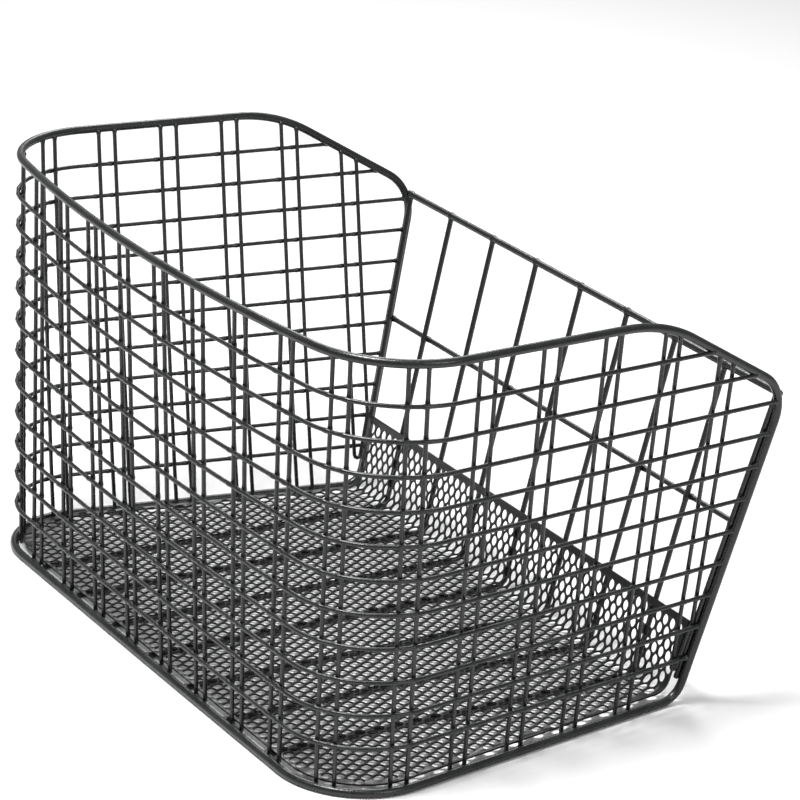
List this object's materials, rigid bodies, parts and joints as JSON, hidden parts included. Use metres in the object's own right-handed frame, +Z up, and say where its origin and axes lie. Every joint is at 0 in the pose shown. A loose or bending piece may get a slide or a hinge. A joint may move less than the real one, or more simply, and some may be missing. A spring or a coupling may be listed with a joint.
{
  "type": "handlebar basket",
  "caption": "Deep welded wire basket for a bicycle's handlebar, with a sloping rim, paired uprights, a slanted wire back and a perforated floor pan turned up at the back.",
  "frame": {"origin": "centre of the bounding box in X and Y, at the lowest face of the bottom rod", "axes": "+Z up, +X across the basket's width, +Y from the basket's front to its back, which faces the bicycle"},
  "size_m": [0.53, 0.37, 0.3055],
  "materials": {
    "coated_rod": "semi-gloss black dip coating",
    "coated_wire": "semi-gloss black dip coating",
    "coated_sheet": "semi-gloss black dip coating"
  },
  "bodies": {
    "root": {"back_cross_bar": "coated_wire", "back_edge_wire_left": "coated_wire", "back_edge_wire_right": "coated_wire", "back_floor_wire_1": "coated_wire", "back_floor_wire_2": "coated_wire", "back_floor_wire_3": "coated_wire", "back_floor_wire_4": "coated_wire", "back_floor_wire_5": "coated_wire", "back_floor_wire_6": "coated_wire", "back_floor_wire_7": "coated_wire", "back_top_bar": "coated_rod", "floor_pan": "coated_sheet", "frame_rod": "coated_rod", "hoop_01": "coated_wire", "hoop_02": "coated_wire", "hoop_03": "coated_wire", "hoop_04": "coated_wire", "hoop_05": "coated_wire", "hoop_06": "coated_wire", "hoop_07": "coated_wire", "hoop_08": "coated_wire", "hoop_09": "coated_wire", "hoop_10": "coated_wire", "hoop_11": "coated_wire", "upright_pair_01": "coated_wire", "upright_pair_02": "coated_wire", "upright_pair_03": "coated_wire", "upright_pair_04": "coated_wire", "upright_pair_05": "coated_wire", "upright_pair_06": "coated_wire", "upright_pair_07": "coated_wire", "upright_pair_08": "coated_wire", "upright_pair_09": "coated_wire", "upright_pair_10": "coated_wire", "upright_pair_11": "coated_wire", "upright_pair_12": "coated_wire", "upright_pair_13": "coated_wire", "upright_pair_14": "coated_wire", "upright_pair_15": "coated_wire", "upright_pair_16": "coated_wire", "upright_pair_17": "coated_wire", "upright_pair_18": "coated_wire", "upright_pair_19": "coated_wire", "upright_pair_20": "coated_wire", "upright_pair_21": "coated_wire", "upright_pair_22": "coated_wire"}
  },
  "joints": []
}
